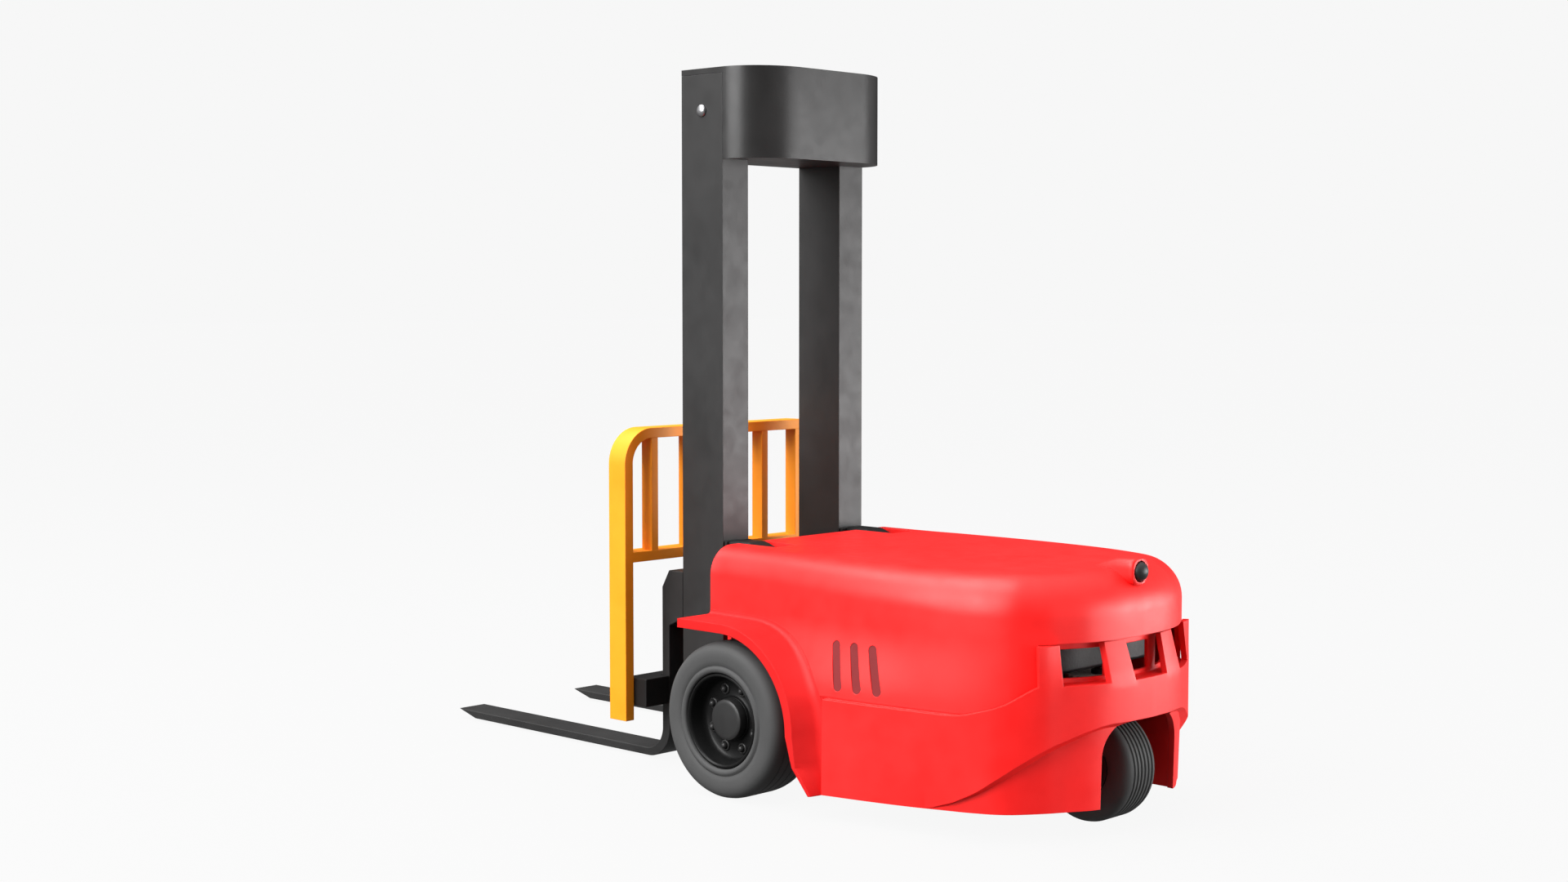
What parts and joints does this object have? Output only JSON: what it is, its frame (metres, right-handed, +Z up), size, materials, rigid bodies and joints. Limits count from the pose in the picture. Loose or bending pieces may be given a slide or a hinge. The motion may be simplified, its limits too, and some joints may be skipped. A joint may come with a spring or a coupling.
{
  "type": "toy forklift",
  "caption": "Toy forklift with a red rounded body, dark tilting mast, fork carriage with a yellow load guard, front drive wheels and a steered rear wheel.",
  "frame": {"origin": "on the floor, at the centre of the bounding box's footprint", "axes": "+Z up; the forks point along -Y and the rear bumper is at +Y; +X is the truck's left side"},
  "size_m": [0.1296, 0.3006, 0.2437],
  "materials": {
    "red_plastic": "satin moulded plastic",
    "yellow_plastic": "satin moulded plastic",
    "dark_plastic": "satin dark grey moulded plastic",
    "black_plastic": "fine-grained black moulded plastic",
    "grey_rubber": "matt grey rubber",
    "belt_rubber": "matt black rubber",
    "steel": "drawn steel",
    "white_nylon": "natural nylon",
    "motor_can": "plated steel can",
    "circuit_board": "green laminate",
    "cell_sleeve": "printed sleeve over a steel can",
    "ballast_iron": "dull cast iron"
  },
  "bodies": {
    "truck": {"chassis_frame": "black_plastic", "hood": "red_plastic", "bumper_skirt": "red_plastic", "window_frame": "red_plastic", "fender_left": "red_plastic", "fender_right": "red_plastic", "battery_box": "dark_plastic", "battery_door": "black_plastic", "battery_cell_1": "cell_sleeve", "battery_cell_2": "cell_sleeve", "battery_cell_3": "cell_sleeve", "battery_cell_4": "cell_sleeve", "circuit_board": "circuit_board", "drive_motor": "motor_can", "axle_bush_left": "white_nylon", "axle_bush_right": "white_nylon", "steering_motor": "motor_can", "counterweight": "ballast_iron", "button_spring": "steel"},
    "mast": {"mast_column_left": "dark_plastic", "mast_column_right": "dark_plastic", "mast_cap": "dark_plastic", "lift_gearbox": "black_plastic", "lift_motor": "motor_can", "tilt_arm_left": "black_plastic", "tilt_arm_right": "black_plastic", "tilt_tie_bar": "black_plastic", "lift_belt_left": "belt_rubber", "lift_belt_right": "belt_rubber"},
    "carriage": {"carriage_lower_bar": "black_plastic", "carriage_upper_bar": "black_plastic", "fork_left": "dark_plastic", "fork_right": "dark_plastic", "slide_shoe_left": "white_nylon", "slide_shoe_right": "white_nylon", "load_guard": "yellow_plastic"},
    "lift_drive_shaft": {"lift_shaft": "steel", "lift_gear": "white_nylon", "lower_pulley_left": "white_nylon", "lower_pulley_right": "white_nylon"},
    "lift_motor_pinion": {"lift_pinion": "white_nylon"},
    "top_shaft": {"top_axle": "steel", "top_pulley_left": "white_nylon", "top_pulley_right": "white_nylon"},
    "front_wheels": {"front_axle": "steel", "axle_gear": "white_nylon", "front_tyre_left": "grey_rubber", "front_tyre_right": "grey_rubber", "front_rim_left": "black_plastic", "front_rim_right": "black_plastic", "hub_cap_left": "dark_plastic", "hub_cap_right": "dark_plastic"},
    "drive_motor_pinion": {"drive_pinion": "white_nylon"},
    "steering": {"steering_yoke": "black_plastic", "steering_gear": "white_nylon", "rear_axle_pin": "steel"},
    "steering_motor_pinion": {"steering_pinion": "white_nylon"},
    "rear_wheel": {"rear_tyre": "grey_rubber", "rear_hub": "dark_plastic"},
    "button": {"power_button": "dark_plastic"}
  },
  "joints": [
    {"name": "mast_tilt", "type": "hinge", "parent": "truck", "child": "mast", "pos_m": [0, -0.0125, 0.015], "axis": [-1, 0, 0], "range_deg": [0, 4]},
    {"name": "carriage_lift", "type": "slide", "parent": "mast", "child": "carriage", "axis": [0, 0, 1], "range_m": [0, 0.15]},
    {"name": "lift_shaft_turn", "type": "hinge", "parent": "mast", "child": "lift_drive_shaft", "pos_m": [0, -0.0125, 0.015], "axis": [-1, 0, 0], "range_deg": [0, 1680]},
    {"name": "top_shaft_turn", "type": "hinge", "parent": "mast", "child": "top_shaft", "pos_m": [0, -0.0125, 0.2293], "axis": [-1, 0, 0], "range_deg": [0, 1680]},
    {"name": "lift_pinion_turn", "type": "hinge", "parent": "mast", "child": "lift_motor_pinion", "pos_m": [-0.008, -0.0125, 0.026], "axis": [-1, 0, 0], "range_deg": [-4100, 0]},
    {"name": "front_wheels_turn", "type": "hinge", "parent": "truck", "child": "front_wheels", "pos_m": [0, 0.0243, 0.026], "axis": [1, 0, 0], "continuous": true},
    {"name": "drive_pinion_turn", "type": "hinge", "parent": "truck", "child": "drive_motor_pinion", "pos_m": [0.012, 0.03402, 0.03572], "axis": [1, 0, 0], "continuous": true},
    {"name": "steer", "type": "hinge", "parent": "truck", "child": "steering", "pos_m": [0, 0.1295, 0.0176], "axis": [0, 0, 1], "range_deg": [-25, 25]},
    {"name": "steering_pinion_turn", "type": "hinge", "parent": "truck", "child": "steering_motor_pinion", "pos_m": [0, 0.11575, 0.045], "axis": [0, 0, 1], "range_deg": [-61, 61]},
    {"name": "rear_wheel_turn", "type": "hinge", "parent": "steering", "child": "rear_wheel", "pos_m": [0, 0.1295, 0.0176], "axis": [1, 0, 0], "continuous": true},
    {"name": "button_press", "type": "slide", "parent": "truck", "child": "button", "axis": [0, -1, 0], "range_m": [0, 0.0015], "stiffness_N_per_m": 150, "deforming": ["button_spring"]}
  ],
  "couplings": [
    {"joint": "lift_shaft_turn", "follows": "carriage_lift", "rad_per_m": 194.17},
    {"joint": "top_shaft_turn", "follows": "carriage_lift", "rad_per_m": 194.17},
    {"joint": "lift_pinion_turn", "follows": "carriage_lift", "rad_per_m": -474.65},
    {"joint": "drive_pinion_turn", "follows": "front_wheels_turn", "ratio": -2.4},
    {"joint": "steering_pinion_turn", "follows": "steer", "ratio": -2.4}
  ]
}
